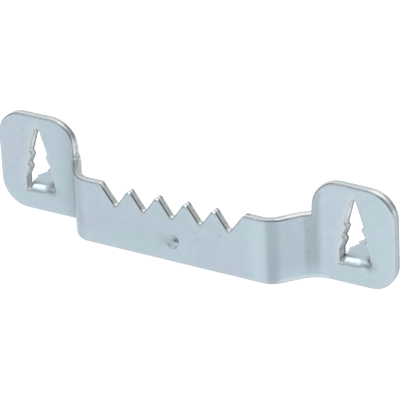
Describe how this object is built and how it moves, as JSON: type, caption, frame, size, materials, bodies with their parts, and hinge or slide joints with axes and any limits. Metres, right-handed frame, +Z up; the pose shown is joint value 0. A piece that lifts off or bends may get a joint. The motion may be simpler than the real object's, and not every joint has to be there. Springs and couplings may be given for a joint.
{
  "type": "picture hanger",
  "caption": "Bent zinc-plated steel strip with a raised sawtooth bar between flat tabs; its barbed prongs press into a picture frame and a wall nail sits in a notch.",
  "frame": {"origin": "on the bar's lower edge, in the middle of the strip's length and of the sheet's thickness", "axes": "+X along the strip to the right of the picture, +Y the way the prongs point, into the picture frame, +Z up with the teeth up as pictured"},
  "size_m": [0.0446, 0.0109, 0.0105],
  "materials": {
    "zinc_plated_steel": "blue-white zinc plating, semi-gloss and faintly mottled, with brighter sheared edges"
  },
  "bodies": {
    "root": {"hanger_strip": "zinc_plated_steel"}
  },
  "joints": []
}
